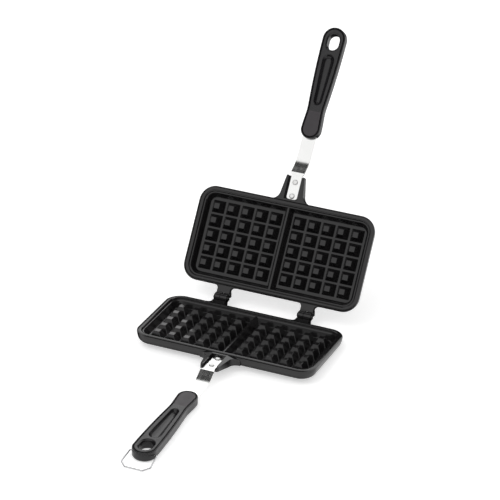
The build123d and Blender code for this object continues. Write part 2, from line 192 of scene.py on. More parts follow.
class WAFFLE_PG_handle(bpy.types.PropertyGroup):
    start: length("Start", "From the joggle's end", 33.5)
    length: length("Length", "Whole handle", 149)
    thickness: length("Thickness", "Inner to outer face", 13.5)
    mouth: length("Mouth", "Half width at the strap end", 12.8)
    waist: length("Waist", "Half width where the thumb closes round", 11.2)
    waist_at: length("Waist at", "From the strap end", 41)
    tip: length("Tip", "Half width at the free end", 15.2)
    inner_round: length("Inner round", "Edge towards the other handle", 1.0)
    outer_round: length("Outer round", "Edge towards the palm", 4.2)
    hole_width: length("Hole width", "Hang hole across", 16)
    hole_length: length("Hole length", "Hang hole along", 21)
    hole_wall: length("Hole wall", "Hang hole to the tip", 9.2)
    groove_at: length("Groove at", "From the strap end", 43.5)
    groove_length: length("Groove length", "Thumb groove", 70)
    groove_narrow: length("Groove narrow", "Width towards the strap", 13)
    groove_wide: length("Groove wide", "Width towards the tip", 18.5)
    groove_depth: length("Groove depth", "Below the inner face", 5)
    seam_width: length("Seam width", "Fine channel around the inner face", 1.5)
    seam_depth: length("Seam depth", "Below the inner face", 1.9)
    pad_length: length("Pad length", "Rougher patch from the strap's end", 36)
    grain: length("Grain", "Size of the mesh's cells", 0.5)


class WAFFLE_PG_finish(bpy.types.PropertyGroup):
    coat: colour("Coat", "Dark non-stick coat of the castings", (0.0072, 0.0068, 0.0072))
    coat_worn: colour("Worn coat", "Coat where it is rubbed", (0.0115, 0.0107, 0.0111))
    plastic: colour("Plastic", "Moulded handle", (0.007, 0.0065, 0.0075))
    pad: colour("Pad", "Rougher patch of the handle", (0.026, 0.021, 0.025))
    plastic_dust: colour("Plastic bloom", "Paler patches on the handle", (0.017, 0.0155, 0.0175))
    steel: colour("Steel", "Bright sheet", (0.93, 0.93, 0.92))
    rivet: colour("Rivet", "Rivets", (0.84, 0.84, 0.83))
    pin: colour("Pin", "Hinge pins and screws", (0.10, 0.10, 0.10))
    wire: colour("Wire", "Drawn wire", (0.70, 0.70, 0.71))


class WAFFLE_PG_stage(bpy.types.PropertyGroup):
    azimuth: angle("Azimuth", "Camera's turn from the front", 21.90)
    elevation: angle("Elevation", "Camera's height angle", 25.78)
    roll: angle("Roll", "Camera's tilt", 2.28)
    distance: length("Distance", "Camera to the aim point", 3442.5)
    aim: FloatVectorProperty(
        name="Aim", description="Point that the camera looks at", default=(-0.03031, 0.09825, 0.07923),
        subtype="XYZ")
    lens: FloatProperty(name="Lens", description="Focal length in millimetres", default=195.36)
    floor: length("Floor", "Side of the floor", 12000)


SIZES = {
    "waffle_plate": WAFFLE_PG_plate, "waffle_pegs": WAFFLE_PG_pegs, "waffle_hinge": WAFFLE_PG_hinge,
    "waffle_strap": WAFFLE_PG_strap, "waffle_handle": WAFFLE_PG_handle, "waffle_finish": WAFFLE_PG_finish,
    "waffle_stage": WAFFLE_PG_stage,
}


# ---- hand tools
def deselect():
    """Leave no object selected."""
    bpy.ops.object.select_all(action="DESELECT")


def add_block(name, low, high):
    """Start a piece from a cube between two corners, ready in edit mode with nothing selected."""
    deselect()
    bpy.ops.mesh.primitive_cube_add(size=1)
    place_start(name, (Vector(low) + Vector(high)) / 2, Vector(high) - Vector(low))


def place_start(name, middle, scale=(1, 1, 1)):
    """Name the new object, put it at its size and place, and open it for editing."""
    piece = bpy.context.object
    piece.name = name
    piece.data.name = name
    piece.location = middle
    piece.scale = scale
    bpy.ops.object.transform_apply(location=True, rotation=True, scale=True)
    bpy.ops.object.mode_set(mode="EDIT")
    bpy.ops.mesh.select_all(action="DESELECT")


def pick(kind, test):
    """Select the faces, edges or verts of the piece in hand that pass the test on their middle."""
    mesh = bpy.context.object.data
    mode = {"verts": (True, False, False), "edges": (False, True, False), "faces": (False, False, True)}[kind]
    bpy.context.tool_settings.mesh_select_mode = mode
    bpy.ops.mesh.select_all(action="DESELECT")
    shape = bmesh.from_edit_mesh(mesh)
    for part in getattr(shape, kind):
        if kind == "verts":
            chosen = test(part.co)
        elif kind == "edges":
            chosen = test(part.verts[0].co, part.verts[1].co)
        else:
            chosen = test(part.calc_center_median(), part.normal)
        part.select_set(chosen)
    shape.select_flush_mode()
    bmesh.update_edit_mesh(mesh)


def near(a, b, slack=0.02 * MM):
    """True when two lengths are the same."""
    return abs(a - b) < slack


def edge_on(**planes):
    """Test for an edge that lies on each plane or, where that is None, runs square to the axis."""
    def test(a, b):
        """Compare both ends with each plane."""
        for axis, plane in planes.items():
            first, second = getattr(a, axis), getattr(b, axis)
            level = second if plane is None else plane
            if not (near(first, level) and near(second, level)):
                return False
        return True
    return test


def facing(axis, sign, least=0.99):
    """Test for a face that looks straight along an axis, or against it."""
    return lambda at, normal: getattr(normal, axis) * sign > least


def pick_facing(axis, sign):
    """Select the faces that look straight along an axis, or against it."""
    pick("faces", facing(axis, sign))


def pull(step):
    """Extrude the selected faces by a step."""
    bpy.ops.mesh.extrude_region_move(TRANSFORM_OT_translate={"value": step})


def move(step):
    """Move the selection by a step."""
    bpy.ops.transform.translate(value=step)


def stretch(factors, centre):
    """Scale the selection about a point."""
    bpy.ops.transform.resize(value=factors, center_override=centre)


def round_edges(width, test, segments=3, clamp=True):
    """Bevel the edges that pass the test."""
    pick("edges", test)
    bpy.ops.mesh.bevel(offset=width, segments=segments, affect="EDGES", profile=0.5, clamp_overlap=clamp)


def finish_edit():
    """Close edit mode and give the piece back."""
    bpy.ops.object.mode_set(mode="OBJECT")
    piece = bpy.context.object
    piece.select_set(False)
    return piece


def hold(piece):
    """Select one piece alone."""
    deselect()
    bpy.context.view_layer.objects.active = piece
    piece.select_set(True)


def apply_modifier(piece, kind, **settings):
    """Add a modifier, set it and apply it."""
    hold(piece)
    modifier = piece.modifiers.new(kind, kind)
    for name, value in settings.items():
        setattr(modifier, name, value)
    bpy.ops.object.modifier_apply(modifier=modifier.name)
    piece.select_set(False)


def cut(piece, tool):
    """Cut the tool out of the piece."""
    apply_modifier(piece, "BOOLEAN", object=tool, operation="DIFFERENCE", solver="EXACT")
    bpy.data.objects.remove(tool)


def join(name, pieces):
    """Join pieces into one object."""
    deselect()
    for piece in pieces:
        piece.select_set(True)
    bpy.context.view_layer.objects.active = pieces[0]
    bpy.ops.object.join()
    whole = bpy.context.object
    whole.name = name
    whole.data.name = name
    whole.select_set(False)
    return whole


def copy_to(piece, name, place):
    """Copy with its own mesh, moved by a matrix that may mirror."""
    mesh = piece.data.copy()
    mesh.transform(place)
    if place.determinant() < 0:
        mesh.flip_normals()
    twin = bpy.data.objects.new(name, mesh)
    mesh.name = name
    bpy.context.scene.collection.objects.link(twin)
    return twin


def smooth(piece, sharpest=40):
    """Smooth shading led by the large faces, with hard edges past an angle in degrees."""
    hold(piece)
    bpy.ops.object.shade_smooth_by_angle(angle=math.radians(sharpest))
    apply_modifier(piece, "WEIGHTED_NORMAL", keep_sharp=True, weight=50)


def dress(piece, material):
    """Give a piece its one material."""
    piece.data.materials.clear()
    piece.data.materials.append(material)


def settle(model, name, place, body, material, replaced=()):
    """Put a copy of a modelled piece on its half of the iron, with its finish."""
    piece = copy_to(model, name, place)
    smooth(piece)
    dress(piece, material)
    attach(piece, body)
    if replaced:
        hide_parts(*replaced)


def settle_pair(model, piece, node, place, material):
    """Put a model on both halves of the iron, in place of the solids, and clear it away."""
    for word, body, half in HALVES:
        settle(model, f"{word}_{piece}", half @ place, body, material, (f"{word}_{node}",))
    bpy.data.objects.remove(model)


# ---- finishes
class Graph:
    """Node tree of a material or the world, built one call at a time."""

    def __init__(self, holder):
        holder.use_nodes = True
        self.nodes, self.links = holder.node_tree.nodes, holder.node_tree.links

    def fill(self, node, inputs):
        """Set a node's inputs, or link them to other nodes' outputs."""
        for name, value in inputs.items():
            if isinstance(value, bpy.types.NodeSocket):
                self.links.new(value, node.inputs[name])
            else:
                node.inputs[name].default_value = value

    def add(self, kind, inputs=None, **settings):
        """New node with its settings and inputs."""
        node = self.nodes.new(kind)
        for name, value in settings.items():
            setattr(node, name, value)
        self.fill(node, inputs or {})
        return node

    def maths(self, operation, *values):
        """Result of a calculation on one to three values."""
        return self.add("ShaderNodeMath", dict(enumerate(values)), operation=operation).outputs["Value"]

    def product(self, first, second):
        """Multiply two values."""
        return self.maths("MULTIPLY", first, second)

    def noise(self, scale, detail=4.0, roughness=0.5, squash=(1, 1, 1)):
        """Noise on the object's own coordinates, squashed per axis."""
        where = self.add("ShaderNodeTexCoord").outputs["Object"]
        place = self.add("ShaderNodeMapping", {"Vector": where, "Scale": squash}).outputs["Vector"]
        inputs = {"Vector": place, "Scale": scale, "Detail": detail, "Roughness": roughness}
        return self.add("ShaderNodeTexNoise", inputs).outputs["Fac"]

    def spread(self, value, low, high, low_to, high_to):
        """Map a range of a value onto another range."""
        inputs = {"Value": value, "From Min": low, "From Max": high, "To Min": low_to, "To Max": high_to}
        return self.add("ShaderNodeMapRange", inputs).outputs["Result"]

    def pointiness(self):
        """How far the mesh bulges: above 0.5 on edges, below it in creases."""
        return self.add("ShaderNodeNewGeometry").outputs["Pointiness"]

    def axes(self, coordinates):
        """X, Y and Z of a kind of coordinates."""
        where = self.add("ShaderNodeTexCoord").outputs[coordinates]
        return self.add("ShaderNodeSeparateXYZ", {"Vector": where}).outputs

    def blend(self, factor, first, second):
        """Mix two colours, each as three numbers or another node's output."""
        first, second = (end if isinstance(end, bpy.types.NodeSocket) else (*end, 1) for end in (first, second))
        return self.add("ShaderNodeMix", {0: factor, 6: first, 7: second}, data_type="RGBA").outputs[2]

    def bump(self, shader, height, strength, distance, before=None):
        """Fine relief on the shader's normal, over a coarser one."""
        node = self.add("ShaderNodeBump", {"Height": height, "Strength": strength, "Distance": distance})
        if before:
            self.links.new(before, node.inputs["Normal"])
        self.links.new(node.outputs["Normal"], shader.inputs["Normal"])
        return node.outputs["Normal"]


def new_material(name):
    """Empty node material with its graph and shader."""
    material = bpy.data.materials.new(name)
    graph = Graph(material)
    return material, graph, graph.nodes["Principled BSDF"]


def coat_finish(colours):
    """Dark baked non-stick coat over a cast surface, paler in patches and where it is rubbed."""
    material, graph, shader = new_material("baked coat")
    patches = graph.spread(graph.noise(scale=38), 0.42, 0.68, 0, 0.55)
    worn = graph.spread(graph.pointiness(), 0.54, 0.64, 0, 1)
    graph.fill(shader, {
        "Base Color": graph.blend(graph.maths("MAXIMUM", patches, worn), colours.coat, colours.coat_worn),
        "Roughness": graph.spread(graph.noise(scale=90, detail=5), 0.3, 0.7, 0.12, 0.19),
        "IOR": 1.52,
    })
    coarse = graph.bump(shader, graph.noise(scale=420, detail=3), strength=0.12, distance=0.08 * MM)
    graph.bump(shader, graph.noise(scale=2400, detail=2), strength=0.08, distance=0.03 * MM, before=coarse)
    return material


def plastic_finish(colours):
    """Moulded heat-proof plastic with a fine satin skin, paler and duller on the pad next to the strap; its
    reflection is turned down in creases as painted shade.
    """
    material, graph, shader = new_material("moulded plastic")
    pad = graph.add("ShaderNodeAttribute", attribute_name="pad").outputs["Fac"]
    bloom = graph.noise(scale=26, detail=5, roughness=0.6, squash=(1, 0.35, 1))
    tone = graph.blend(graph.spread(bloom, 0.40, 0.72, 0, 0.8), colours.plastic, colours.plastic_dust)
    rough = graph.spread(graph.noise(scale=120, detail=5), 0.3, 0.7, 0.20, 0.30)
    gloss = graph.spread(pad, 0, 1, 0.44, 0.5)
    # painted shade: the reflection is turned down where the mesh is concave, so creases, the seam and the hole's
    # edges read darker
    crease_shade = graph.spread(graph.pointiness(), 0.445, 0.485, 0.1, 1)
    graph.fill(shader, {
        "Base Color": graph.blend(pad, tone, colours.pad),
        "Roughness": graph.maths("MULTIPLY_ADD", pad, 0.15, rough),
        "Specular IOR Level": graph.product(gloss, crease_shade),
        "IOR": 1.54,
    })
    soft = graph.bump(shader, graph.noise(scale=160, detail=2), strength=0.08, distance=0.15 * MM)
    graph.bump(shader, graph.noise(scale=3200, detail=2), strength=0.12, distance=0.03 * MM, before=soft)
    return material


def metal_finish(name, tone, roughness, spotted, streak=1):
    """Bare steel, a little stained; a streak below 1 draws its marks out along the iron."""
    material, graph, shader = new_material(name)
    stain = graph.spread(graph.noise(scale=45), 0.35, 0.75, 0, spotted)
    dull = tuple(part * 0.72 for part in tone)
    lines = graph.noise(scale=260, detail=3, roughness=0.6, squash=(1, streak, 1))
    graph.fill(shader, {
        "Metallic": 1,
        "Base Color": graph.blend(stain, tone, dull),
        "Roughness": graph.spread(lines, 0.25, 0.75, roughness * 0.75, roughness * 1.3),
    })
    graph.bump(shader, lines, strength=0.08, distance=0.02 * MM)
    return material


# ---- plates
def plate_spans(plate):
    """Back, front and middle of a plate along y."""
    back = -plate.hinge_reach
    front = back - plate.depth
    return back, front, (back + front) / 2


def step_in(profile):
    """Inset the selected face along a list of (inset, level) points, measured from its first one."""
    for (inset_from, level_from), (inset_to, level_to) in zip(profile, profile[1:]):
        bpy.ops.mesh.inset(thickness=inset_to - inset_from, depth=level_to - level_from)


def rim_profile(plate, steps=5):
    """Profile over the crowned rim as (inset, level), from its outer edge over the crest down to the ledge."""
    peak, land, drop = plate.rim_peak, plate.rim_land, plate.ledge_drop
    outer_fall, inner_fall = plate.rim_fall, plate.rim_inner_fall
    rise = [(peak * step / steps, -outer_fall * (1 - step / steps) ** 2) for step in range(steps)]
    fall = [(peak + (land - peak) * step / steps, -inner_fall * (step / steps) ** 2) for step in range(steps + 1)]
    return rise + fall + [
        (land + 0.2 * MM, -inner_fall - 0.25 * MM),  # the rim's inner edge
        (land + 0.42 * MM, -drop + 0.3 * MM), (land + 0.7 * MM, -drop),  # riser and its foot
    ]


def tray(plate):
    """The plate's tray: band, drafted skirt, crowned rim, ledge and cavity."""
    back, front = plate_spans(plate)[:2]
    rim = -plate.rim_gap
    half = plate.width / 2
    band_end, band_round = rim - plate.rim_band, 1.6 * MM
    profile = rim_profile(plate)
    add_block("tray", (-half, front, band_end), (half, back, rim + profile[0][1]))
    round_edges(plate.corner, edge_on(x=None, y=None), 14)
    pick_facing("z", -1)
    bpy.ops.mesh.inset(thickness=plate.skirt_inset, depth=plate.height - plate.rim_gap - plate.rim_band)
    round_edges(plate.foot_round, edge_on(z=-plate.height), 7)
    round_edges(band_round, edge_on(z=band_end))

    drop = plate.ledge_drop
    ledge_end = plate.rim_land + plate.ledge_width
    wall_end = ledge_end + plate.wall_run
    floor = plate.cavity_depth + rim
    pick_facing("z", 1)
    step_in(profile + [
        (ledge_end - 0.9 * MM, -drop), (ledge_end, -drop - 1.05 * MM),  # chamfer at the end of the ledge
        (ledge_end + 0.1 * MM, -drop - 1.5 * MM),  # keeps the tall wall's shading off the chamfer
        (wall_end - 0.35 * MM, -floor + 1.3 * MM), (wall_end - 0.05 * MM, -floor + 0.6 * MM),  # fillet at its foot
        (wall_end + 0.45 * MM, -floor + 0.15 * MM), (wall_end + 1.3 * MM, -floor),
    ])
    return finish_edit()


def divider(plate):
    """Wedge-shaped wall between the cavities."""
    back, front, middle = plate_spans(plate)
    into_wall, crest_round, flare = 0.8 * MM, 0.9 * MM, 1.2 * MM
    foot = plate.divider_foot / 2
    ends = plate.rim_land + plate.ledge_width - into_wall
    top = -(plate.rim_gap + plate.ledge_drop + SHY)
    floor = -plate.cavity_depth
    add_block("divider", (-foot, front + ends, floor), (foot, back - ends, top))
    pick_facing("z", 1)
    stretch((plate.divider_top / plate.divider_foot, 1, 1), (0, middle, top))
    round_edges(crest_round, edge_on(z=top, x=None))
    pick_facing("z", -1)
    move((0, 0, flare))
    pull((0, 0, -flare - FOOT_SINK))
    stretch((1 + 2 * flare / plate.divider_foot, 1, 1), (0, middle, floor))
    return finish_edit()


def peg_field(plate, pegs):
    """One peg, then both groups of its copies."""
    middle = plate_spans(plate)[2]
    side_round, crest_round = 0.8 * MM, 0.36 * MM
    group = ((pegs.count - 1) * pegs.pitch_x + pegs.pitch_x + pegs.group_gap) / 2
    x, y = -group - (pegs.count - 1) / 2 * pegs.pitch_x, middle - (pegs.count - 1) / 2 * pegs.pitch_y
    first = Vector((x, y, 0))
    floor, top = -plate.cavity_depth, -pegs.drop
    half = Vector((pegs.base_x / 2, pegs.base_y / 2, 0))
    add_block("pegs", first - half + Vector((0, 0, floor)), first + half + Vector((0, 0, top)))
    pick_facing("z", 1)
    stretch((pegs.top / pegs.base_x, pegs.top / pegs.base_y, 1), (first.x, first.y, top))
    round_edges(side_round, lambda a, b: not near(a.z, b.z))
    round_edges(crest_round, edge_on(z=top), 2)
    pick_facing("z", -1)
    move((0, 0, pegs.flare))
    pull((0, 0, -pegs.flare - FOOT_SINK))
    stretch((1 + 2 * pegs.flare / pegs.base_x, 1 + 2 * pegs.flare / pegs.base_y, 1), (first.x, first.y, floor))
    piece = finish_edit()
    rows = (((pegs.pitch_x, 0, 0), pegs.count), ((0, pegs.pitch_y, 0), pegs.count), ((2 * group, 0, 0), 2))
    for step, count in rows:
        apply_modifier(piece, "ARRAY", count=count, use_relative_offset=False, use_constant_offset=True,
                       constant_offset_displace=step)
    return piece


def flared_block(name, low, high, wall, flare, sides=(-1, 1), taper=0):
    """Block that grows out of an upright wall at y = wall, with concave corners, narrower by taper at its end."""
    root = 5 * MM
    outward = 1 if high[1] > wall else -1
    reach = high[1] if outward > 0 else low[1]
    add_block(name, (low[0], min(wall, reach), low[2]), (high[0], max(wall, reach), high[2]))
    pick_facing("y", -outward)
    pull((0, -outward * root, 0))
    side_at = {-1: low[0], 1: high[0]}
    for side in sides:
        pick("faces", lambda at, normal: facing("x", side)(at, normal) and (at.y - wall) * outward < 0)
        pull((side * (flare + SINK), 0, 0))
        pick("verts", lambda at: near(at.y, reach) and near(at.x, side_at[side]))
        move((-side * taper, 0, 0))
    round_edges(flare, lambda a, b: edge_on(y=wall, x=None)(a, b) and not near(a.z, b.z)
                and any(near(a.x, side_at[side]) for side in sides), 8)


def bracket(plate, strap):
    """Two cheeks and the floor between them, in front of the plate."""
    nose_round, nose_zone, top_round = 1.6 * MM, 2 * MM, 1.5 * MM
    thinnest, end_gap, into_wall, hair = 1.5 * MM, 0.5 * MM, 3 * MM, 0.02 * MM
    front = plate_spans(plate)[1]
    nose = front - strap.reach
    inner = strap.narrow / 2 + strap.side_gap
    outer = inner + strap.cheek + strap.cheek_taper
    low, high = -strap.bracket_floor, -strap.cheek_top
    flared_block("cheek", (inner, nose, low), (outer, front, high), front, strap.cheek_flare, (1,),
                 strap.cheek_taper)
    round_edges(nose_round, edge_on(y=nose, x=None), 4)
    pick("verts", lambda at: near(at.z, low) and at.y < nose + nose_zone)
    move((0, 0, strap.nose_rise))
    round_edges(top_round, lambda a, b: edge_on(z=high)(a, b) and max(a.y, b.y) < front + SHY, 5)
    pick("verts", lambda at: at.z > high - top_round - SHY / 2)
    bpy.ops.transform.rotate(value=-strap.cheek_lean, orient_axis="Y", center_override=(inner, nose, high))
    cheek = finish_edit()
    twin = copy_to(cheek, "cheek_twin", Matrix.Scale(-1, 4, (1, 0, 0)))
    half, floor_nose, floor_top = inner + SINK, nose + SHY, -(strap.face + strap.thickness)
    add_block("channel", (-half, floor_nose, low + hair), (half, front + into_wall, floor_top))
    pick("verts", lambda at: near(at.y, floor_nose) and at.z < floor_top - SINK)
    move((0, 0, min(strap.nose_rise, floor_top - low - thinnest)))
    round_edges(SMALL_ROUND, edge_on(y=floor_nose))
    floor = finish_edit()
    end_wall = front - strap.start + end_gap
    add_block("stop", (-half, end_wall, floor_top - SINK), (half, front + into_wall, high - SHY))
    round_edges(SMALL_ROUND, edge_on(y=end_wall, z=None))
    return join("bracket", [cheek, twin, floor, finish_edit()])


def hinge_root(name, plate, hinge, underside, *rounded):
    """Web that carries a hinge at the plate's back wall, rounded where its levels end outside the wall."""
    back = plate_spans(plate)[0]
    half = hinge.width / 2
    flared_block(name, (-half, back, -underside), (half, -hinge.relief, -hinge.web_top), back, hinge.flare)
    round_edges(SMALL_ROUND, lambda a, b: near(a.z, b.z) and max(a.y, b.y) > back + SHY
                and any(near(a.z, -level) for level in rounded))
    return finish_edit()


def barrel(name, hinge, x_from, x_to, sides=40):
    """Round eye on the hinge axis."""
    end_round = 0.5 * MM
    deselect()
    bpy.ops.mesh.primitive_cylinder_add(
        vertices=sides, radius=hinge.radius, depth=x_to - x_from, rotation=(0, math.pi / 2, 0))
    place_start(name, Vector(((x_from + x_to) / 2, 0, 0)))
    round_edges(end_round, edge_on(x=None), 2)
    return finish_edit()


def lower_hinge(plate, hinge):
    """Web, knuckle and stop horn of one lower hinge, at x = 0."""
    lap, saddle_round, lip_end, lip_top, lip_round = 0.5 * MM, 2 * MM, -1 * MM, 0.3 * MM, 0.8 * MM
    horn_fall, stop_gap, root_drop, root_end = 1.8 * MM, 0.1 * MM, 1.6 * MM, 6.3 * MM
    low, high = -hinge.width / 2, hinge.width / 2
    knuckle_from = low + hinge.ear + hinge.side_gap
    web = hinge_root("web", plate, hinge, hinge.web_floor, hinge.web_top)
    start = -hinge.relief - lap
    add_block("saddle", (knuckle_from, start, -hinge.web_floor), (high, 0, -hinge.web_top - lap))
    round_edges(saddle_round, lambda a, b: edge_on(y=0, z=None)(a, b) and a.z < -hinge.radius, 4)
    saddle = finish_edit()
    add_block("lip", (low, start, -hinge.web_floor), (high, lip_end, -hinge.relief - lip_top))
    round_edges(lip_round, edge_on(y=lip_end, z=None))
    lip = finish_edit()
    knuckle = barrel("knuckle", hinge, knuckle_from, high)
    add_block("horn", (knuckle_from, 0, -hinge.horn_foot - horn_fall), (high, hinge.horn_back, hinge.horn_top))
    face = Vector((0, math.sin(LID_OPEN), math.cos(LID_OPEN)))
    under = Vector((0, -horn_fall / MM, -hinge.horn_back / MM)).normalized()
    bpy.ops.mesh.select_all(action="SELECT")
    bpy.ops.mesh.bisect(
        plane_co=face * (hinge.arm_outer + stop_gap), plane_no=face, use_fill=True, clear_inner=True)
    bpy.ops.mesh.select_all(action="SELECT")
    bpy.ops.mesh.bisect(
        plane_co=(0, hinge.horn_back, -hinge.horn_foot), plane_no=under, use_fill=True, clear_outer=True)
    round_edges(SMALL_ROUND, lambda a, b: near(a.z, b.z) and a.z > 0
                or near(a.y, b.y) and near(a.y, hinge.horn_back) and near(a.x, b.x))
    horn = finish_edit()
    add_block("root", (knuckle_from, 0, -hinge.horn_foot - root_drop), (high, root_end, -hinge.horn_foot))
    return join("lower_hinge", [web, saddle, lip, knuckle, horn, finish_edit()])


def lid_hinge(plate, hinge):
    """Arm and ear of one lid hinge, at x = 0."""
    low = -hinge.width / 2
    ear_to = low + hinge.ear
    arm = hinge_root("arm", plate, hinge, hinge.arm_outer, hinge.web_top, hinge.arm_outer)
    add_block("ear_arm", (low, -hinge.relief - SINK, -hinge.arm_outer), (ear_to, -hinge.arm_heel, -hinge.web_top))
    round_edges(SMALL_ROUND, edge_on(y=-hinge.arm_heel))
    return join("lid_hinge", [arm, finish_edit(), barrel("ear", hinge, low, ear_to)])


class WAFFLE_OT_plates(bpy.types.Operator):
    """Model both castings with their pegs, brackets and hinges"""
    bl_idname = "waffle.plates"
    bl_label = "Plates"

    def execute(self, context):
        scene = context.scene
        plate, hinge = scene.waffle_plate, scene.waffle_hinge
        coat = coat_finish(scene.waffle_finish)
        body = join("tray", [tray(plate), divider(plate)])
        field = peg_field(plate, scene.waffle_pegs)
        front = bracket(plate, scene.waffle_strap)
        for (word, half, place), model in zip(HALVES, (lower_hinge(plate, hinge), lid_hinge(plate, hinge))):
            settle(body, f"{word}_tray", place, half, coat, (f"{word}_plate",))
            settle(field, f"{word}_pegs", place, half, coat)
            settle(front, f"{word}_bracket", place, half, coat)
            for side, sign in (("left", -1), ("right", 1)):
                station = Matrix.Translation((hinge.offset + sign * hinge.spacing / 2, 0, 0))
                settle(model, f"{word}_hinge_{side}", place @ station, half, coat)
            bpy.data.objects.remove(model)
        for model in (body, field, front):
            bpy.data.objects.remove(model)
        return {"FINISHED"}


# ---- straps
def strap_stations(plate, strap, handle):
    """Middle line of the strap as (y, z, tilt, width) from the bracket to inside the handle."""
    front = plate_spans(plate)[1]
    middle = -(strap.face + strap.thickness / 2)
    bend_at = front - strap.joggle_at
    end_y, end_z = bend_at - strap.joggle_run, middle - strap.joggle_drop
    fall = math.atan2(strap.joggle_drop, strap.joggle_run)
    tang, steps = 12 * MM, 8
    out = end_y - (handle.start + tang) * math.cos(strap.slope)
    nose = front - strap.reach
    rest_at = front - strap.reach / 2
    lift = math.tan(strap.lean)
    corners = [((bend_at, middle + (bend_at - rest_at) * lift), strap.lean, fall, strap.bend),
               ((end_y, end_z), fall, strap.slope, strap.sweep)]
    stations = [(y, middle + (y - rest_at) * lift, strap.lean) for y in (front - strap.start, nose)]
    for (y, z), tilt_in, tilt_out, radius in corners:
        turn = tilt_out - tilt_in
        lead = radius * math.tan(abs(turn) / 2)
        start = Vector((y + lead * math.cos(tilt_in), z + lead * math.sin(tilt_in)))
        for step in range(steps + 1):
            tilt = tilt_in + turn * step / steps
            if step:
                mid_tilt = tilt_in + turn * (step - 0.5) / steps
                chord = 2 * radius * math.sin(abs(turn) / steps / 2)
                start = start - Vector((math.cos(mid_tilt), math.sin(mid_tilt))) * chord
            stations.append((start.x, start.y, tilt))
    stations.append((out, end_z - (end_y - out) * math.tan(strap.slope), strap.slope))
    widening = strap.wide - strap.narrow
    return [(y, z, tilt, strap.narrow + widening * min(max((nose - y) / (nose - bend_at), 0), 1))
            for y, z, tilt in stations]


def sheet_strap(plate, strap, handle):
    """Strap pulled out of a thin block, station by station."""
    end_round, sheet_round, shortest, widening = 3 * MM, 0.35 * MM, 0.05 * MM, 3 * MM
    stations = strap_stations(plate, strap, handle)
    (y, z, tilt, width), before = stations[:2]
    half = strap.thickness / 2
    end = y
    add_block("strap", (-width / 2, before[0], z - half), (width / 2, end, z + half))
    pick_facing("y", -1)
    for station in stations[2:]:
        y, z, tilt, width = station
        pull((0, y - before[0], z - before[1]))
        bpy.ops.transform.rotate(value=before[2] - tilt, orient_axis="X", center_override=(0, y, z))
        stretch((width / before[3], 1, 1), (0, y, z))
        before = station
    round_edges(end_round, edge_on(y=end, x=None), 6)
    round_edges(sheet_round, lambda a, b: abs(a.y - b.y) > shortest and a.x * b.x > 0
                and near(abs(a.x), abs(b.x), widening), 2)
    return finish_edit()


class WAFFLE_OT_straps(bpy.types.Operator):
    """Model the two joggled straps"""
    bl_idname = "waffle.straps"
    bl_label = "Straps"

    def execute(self, context):
        scene = context.scene
        steel = metal_finish("bright sheet", scene.waffle_finish.steel, roughness=0.17, streak=0.06, spotted=0.15)
        model = sheet_strap(scene.waffle_plate, scene.waffle_strap, scene.waffle_handle)
        settle_pair(model, "sheet_strap", "strap", Matrix(), steel)
        return {"FINISHED"}


# ---- handles
def capsule(name, wide, far_wide, start, end, low, high, sides=64):
    """Solid with two round ends, from y = -start to y = -end."""
    far_middle = -(end - far_wide)
    deselect()
    bpy.ops.mesh.primitive_cylinder_add(vertices=sides, radius=far_wide, depth=high - low)
    place_start(name, Vector((0, far_middle, (low + high) / 2)))
    pick("verts", lambda at: at.y > far_middle and not near(at.y, far_middle))
    stretch((wide / far_wide, wide / far_wide, 1), (0, far_middle, 0))
    move((0, -(start + wide) - far_middle, 0))


def handle_blank(handle, steps=24):
    """Handle with round mouth, waist and tip, in the strap's own line."""
    half = handle.thickness / 2
    end = handle.start + handle.length
    capsule("handle", handle.mouth, handle.tip, handle.start, end, -half, half)
    mouth, tip = -(handle.start + handle.mouth), -(end - handle.tip)
    pick("edges", lambda a, b: abs(a.y - b.y) > (mouth - tip) / 2)
    bpy.ops.mesh.subdivide(number_cuts=steps - 1)
    waist = -(handle.start + handle.waist_at)

    def half_width(y):
        """Smooth change from mouth to waist, then a swell towards the tip."""
        if y > waist:
            share = (mouth - y) / (mouth - waist)
            return handle.mouth + (handle.waist - handle.mouth) * share * share * (3 - 2 * share)
        share = (waist - y) / (waist - tip)
        return handle.waist + (handle.tip - handle.waist) * (1 - (1 - share) ** 2)

    for step in range(1, steps):
        share = step / steps
        y = mouth + (tip - mouth) * share
        straight = handle.mouth + (handle.tip - handle.mouth) * share
        pick("verts", lambda at: near(at.y, y, (mouth - tip) / steps / 2))
        stretch((half_width(y) / straight, 1, 1), (0, y, 0))
    round_edges(handle.outer_round, lambda a, b: edge_on(z=-half)(a, b) and on_rim(a, b), 6, False)
    round_edges(handle.inner_round, lambda a, b: edge_on(z=half)(a, b) and on_rim(a, b), 5, False)
    pick_facing("z", 1)
    width, depth = handle.seam_width, handle.seam_depth
    step_in([(0, 0), (SEAM_SIDE, 0), (SEAM_SIDE * 2, -depth), (width, -depth), (width + SEAM_SIDE, 0)])
    return finish_edit()


def on_rim(a, b, longest=4 * MM, none=1e-9):
    """True for an edge of the handle's outline, false for a chord across it."""
    across = abs(a.x - b.x)
    return across < longest and (a.x * b.x > -none or across < longest / 2)


def hang_hole(handle):
    """Tool for the hang hole, flared at both mouths."""
    mouth, flare = 1.6 * MM, (1.38, 1.30, 1)
    half = handle.thickness / 2
    end = handle.start + handle.length - handle.hole_wall
    radius = handle.hole_width / 2
    capsule("hole", radius, radius, end - handle.hole_length, end, -half - SINK, half + SINK)
    middle = (0, -(end - handle.hole_length / 2), 0)
    bpy.ops.mesh.select_all(action="SELECT")
    for level in (-half + mouth, half - mouth):
        bpy.ops.mesh.bisect(plane_co=(0, 0, level), plane_no=(0, 0, 1))
        bpy.ops.mesh.select_all(action="SELECT")
    pick("verts", lambda at: abs(at.z) > half)
    stretch(flare, middle)
    return finish_edit()


